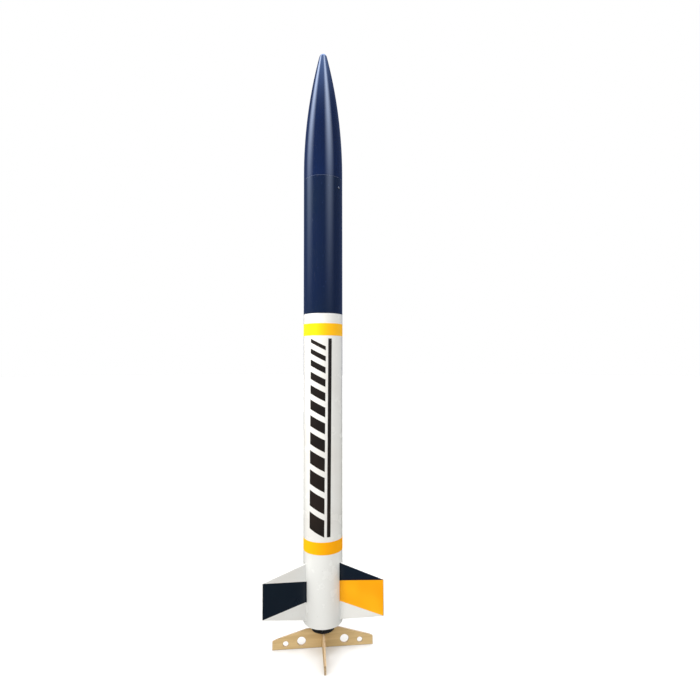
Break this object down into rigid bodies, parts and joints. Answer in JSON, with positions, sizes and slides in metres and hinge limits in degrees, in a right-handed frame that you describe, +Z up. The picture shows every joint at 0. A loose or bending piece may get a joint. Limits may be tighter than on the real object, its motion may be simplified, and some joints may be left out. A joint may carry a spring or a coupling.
{
  "type": "model rocket",
  "caption": "Tall single-stage model rocket with swept fins, a payload section, a motor mount and a cross-lapped plywood display stand.",
  "frame": {"origin": "foot of the display stand, on the rocket's axis", "axes": "+Z up along the rocket's axis to the nose tip; the rear fin points along +Y and the long black stripe faces -Y"},
  "size_m": [0.2948, 0.2828, 1.553],
  "materials": {
    "stand_ply": "bare plywood with darkened cut edges",
    "white_paint": "gloss white paint over a paper tube",
    "kraft_tube": "bare spiral-wound paper",
    "ring_ply": "bare plywood",
    "fin_paint": "gloss paint in navy, white and yellow over plywood",
    "fillet_paint": "gloss paint in the fin's colours over epoxy",
    "retainer_metal": "black anodised",
    "cap_metal": "black anodised, fluted",
    "lug_paint": "gloss white paint",
    "yellow_vinyl": "gloss vinyl",
    "black_vinyl": "satin vinyl",
    "zinc_steel": "zinc plated",
    "chute_nylon": "ripstop nylon",
    "flameproof_cloth": "woven flameproof cloth",
    "navy_paint": "gloss navy paint over a paper tube",
    "navy_plastic": "gloss navy paint over moulded plastic",
    "black_plastic": "moulded plastic",
    "screw_steel": "dull steel pan-head screws"
  },
  "bodies": {
    "stand": {"stand_plate_wide": "stand_ply", "stand_plate_cross": "stand_ply"},
    "booster": {"booster_tube": "white_paint", "motor_tube": "kraft_tube", "aft_ring": "ring_ply", "middle_ring": "ring_ply", "forward_ring": "ring_ply", "fin_left": "fin_paint", "fin_right": "fin_paint", "fin_rear": "fin_paint", "fin_fillets": "fillet_paint", "retainer_body": "retainer_metal", "launch_lug_lower": "lug_paint", "launch_lug_upper": "lug_paint", "lower_band": "yellow_vinyl", "upper_band": "yellow_vinyl", "side_stripe": "black_vinyl", "side_marks": "black_vinyl", "booster_eyebolt": "zinc_steel", "booster_nuts": "zinc_steel", "parachute": "chute_nylon", "chute_protector": "flameproof_cloth"},
    "retainer_cap": {"retainer_cap": "cap_metal"},
    "payload_section": {"payload_tube": "navy_paint", "coupler_tube": "kraft_tube", "coupler_bulkhead": "ring_ply", "payload_eyebolt": "zinc_steel", "payload_nuts": "zinc_steel", "nose_cone": "navy_plastic", "nose_base": "black_plastic", "nose_screws": "screw_steel"}
  },
  "joints": [
    {"name": "rocket_lift", "type": "slide", "parent": "stand", "child": "booster", "axis": [0, 0, 1], "range_m": [0, 0.4]},
    {"name": "payload_separation", "type": "slide", "parent": "booster", "child": "payload_section", "axis": [0, 0, 1], "range_m": [0, 0.3]},
    {"name": "retainer_turn", "type": "hinge", "parent": "booster", "child": "retainer_cap", "pos_m": [0, 0, 0.048], "axis": [0, 0, 1], "range_deg": [0, 60]}
  ]
}
